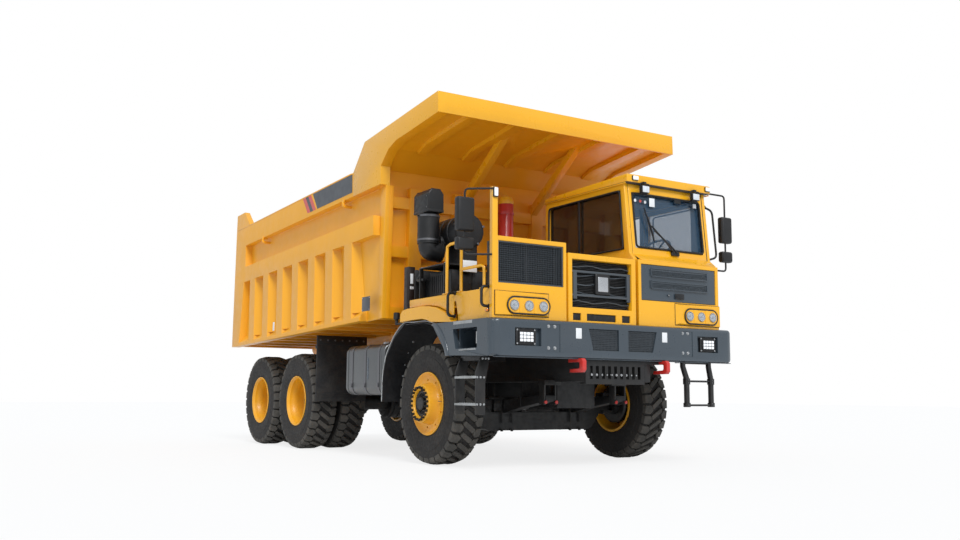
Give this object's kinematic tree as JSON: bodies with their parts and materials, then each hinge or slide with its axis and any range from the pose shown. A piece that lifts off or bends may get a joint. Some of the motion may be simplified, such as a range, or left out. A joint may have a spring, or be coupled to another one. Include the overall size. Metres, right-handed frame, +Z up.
{
  "type": "six-wheel mining dump truck",
  "caption": "Rigid off-highway dump truck with an offset cab, ribbed tipping body with a canopy, front telescopic hoist, steered front wheels and twin rear wheels.",
  "frame": {"origin": "bottom centre of the bounding box, on the ground", "axes": "+X is the truck's own left (the cab side), -Y is the front, +Z is up"},
  "size_m": [4.356, 8.6338, 4.5268],
  "materials": {
    "yellow_paint": "gloss yellow paint",
    "dark_grey_paint": "satin dark blue-grey paint",
    "black_steel": "satin black paint",
    "tyre": "moulded rubber, matt",
    "wheel_paint": "gloss yellow paint",
    "red_paint": "gloss red paint",
    "hoist_chrome": "polished",
    "tank_steel": "brushed",
    "cast": "painted casting, matt",
    "glass": "tinted safety glass",
    "lamp_lens": "clear lens in a silver bowl",
    "seat_fabric": "woven seat cloth",
    "black_plastic": "moulded black plastic"
  },
  "bodies": {
    "chassis": {"chassis_frame": "black_steel", "front_bumper": "dark_grey_paint", "front_guard": "black_steel", "fascia_right": "yellow_paint", "screen_mesh": "black_steel", "radiator_surround": "yellow_paint", "radiator_grille": "dark_grey_paint", "headlamp_right": "lamp_lens", "headlamp_left": "lamp_lens", "cab_base": "yellow_paint", "cab_windscreen_frame": "yellow_paint", "windscreen": "glass", "cab_inner_side": "yellow_paint", "cab_side_glass": "glass", "cab_outer_side": "yellow_paint", "cab_rear_wall": "yellow_paint", "rear_glass": "glass", "cab_roof": "yellow_paint", "driver_seat": "seat_fabric", "steering_wheel": "black_plastic", "deck_right": "yellow_paint", "fender_right": "yellow_paint", "fender_left": "yellow_paint", "handrail": "yellow_paint", "mirror_left": "black_steel", "mirror_right": "black_steel", "air_intake": "black_plastic", "air_cleaner": "black_plastic", "rear_cabinet": "black_steel", "engine_block": "cast", "fuel_tank": "tank_steel", "hydraulic_tank": "black_steel", "mudflaps": "tyre", "boarding_ladder": "black_steel", "side_steps": "black_steel", "front_axle": "cast", "mid_axle": "cast", "rear_axle": "cast", "bogie_springs": "cast"},
    "hatch": {"service_hatch": "dark_grey_paint"},
    "door": {"cab_door": "yellow_paint", "door_glass": "glass"},
    "steering_knuckle_left": {"knuckle_left": "cast"},
    "steering_knuckle_right": {"knuckle_right": "cast"},
    "front_wheel_left": {"tyre_front_left": "tyre", "rim_front_left": "wheel_paint"},
    "front_wheel_right": {"tyre_front_right": "tyre", "rim_front_right": "wheel_paint"},
    "mid_wheel_left": {"twin_wheel_mid_left": "tyre"},
    "mid_wheel_right": {"twin_wheel_mid_right": "tyre"},
    "rear_wheel_left": {"twin_wheel_rear_left": "tyre"},
    "rear_wheel_right": {"twin_wheel_rear_right": "tyre"},
    "dump_body": {"bed_floor": "yellow_paint", "bed_side_left": "yellow_paint", "bed_side_right": "yellow_paint", "bed_headboard": "yellow_paint", "bed_canopy": "yellow_paint"},
    "hoist_cover_body": {"hoist_cover": "red_paint"},
    "hoist_stage_1_body": {"hoist_stage_1": "hoist_chrome"},
    "hoist_stage_2_body": {"hoist_stage_2": "hoist_chrome"}
  },
  "joints": [
    {"name": "bed_tip", "type": "hinge", "parent": "chassis", "child": "dump_body", "pos_m": [0, 3.8235, 1.35], "axis": [-1, 0, 0], "range_deg": [0, 45]},
    {"name": "hoist_tilt", "type": "hinge", "parent": "dump_body", "child": "hoist_cover_body", "pos_m": [0, -1.7369, 1.78], "axis": [1, 0, 0], "range_deg": [-0.5, 22]},
    {"name": "hoist_slide_1", "type": "slide", "parent": "hoist_cover_body", "child": "hoist_stage_1_body", "axis": [0, 0, -1], "range_m": [-0.005, 2.12]},
    {"name": "hoist_slide_2", "type": "slide", "parent": "hoist_stage_1_body", "child": "hoist_stage_2_body", "axis": [0, 0, -1], "range_m": [-0.005, 2.12]},
    {"name": "steer_left", "type": "hinge", "parent": "chassis", "child": "steering_knuckle_left", "pos_m": [1.15, -2.4769, 0.7465], "axis": [0, 0, 1], "range_deg": [-30, 30]},
    {"name": "steer_right", "type": "hinge", "parent": "chassis", "child": "steering_knuckle_right", "pos_m": [-1.15, -2.4769, 0.7465], "axis": [0, 0, 1], "range_deg": [-30.5, 30.5]},
    {"name": "front_wheel_left_spin", "type": "hinge", "parent": "steering_knuckle_left", "child": "front_wheel_left", "pos_m": [1.471, -2.4769, 0.7465], "axis": [1, 0, 0], "continuous": true},
    {"name": "front_wheel_right_spin", "type": "hinge", "parent": "steering_knuckle_right", "child": "front_wheel_right", "pos_m": [-1.471, -2.4769, 0.7465], "axis": [1, 0, 0], "continuous": true},
    {"name": "mid_wheel_left_spin", "type": "hinge", "parent": "chassis", "child": "mid_wheel_left", "pos_m": [1.3195, 1.5931, 0.7465], "axis": [1, 0, 0], "continuous": true},
    {"name": "mid_wheel_right_spin", "type": "hinge", "parent": "chassis", "child": "mid_wheel_right", "pos_m": [-1.3195, 1.5931, 0.7465], "axis": [1, 0, 0], "continuous": true},
    {"name": "rear_wheel_left_spin", "type": "hinge", "parent": "chassis", "child": "rear_wheel_left", "pos_m": [1.3195, 3.2231, 0.7465], "axis": [1, 0, 0], "continuous": true},
    {"name": "rear_wheel_right_spin", "type": "hinge", "parent": "chassis", "child": "rear_wheel_right", "pos_m": [-1.3195, 3.2231, 0.7465], "axis": [1, 0, 0], "continuous": true},
    {"name": "door_hinge", "type": "hinge", "parent": "chassis", "child": "door", "pos_m": [1.7143, -3.8169, 2.7], "axis": [0, 0, 1], "range_deg": [-75, 0]},
    {"name": "hatch_hinge", "type": "hinge", "parent": "chassis", "child": "hatch", "pos_m": [0.99, -4.1689, 2.459], "axis": [-1, 0, 0], "range_deg": [0, 80]}
  ],
  "couplings": [
    {"joint": "hoist_tilt", "follows": "bed_tip", "ratio": 0.4768},
    {"joint": "hoist_slide_1", "follows": "bed_tip", "m_per_rad": 2.6791},
    {"joint": "hoist_slide_2", "follows": "bed_tip", "m_per_rad": 2.6791},
    {"joint": "steer_right", "follows": "steer_left", "ratio": 1}
  ]
}
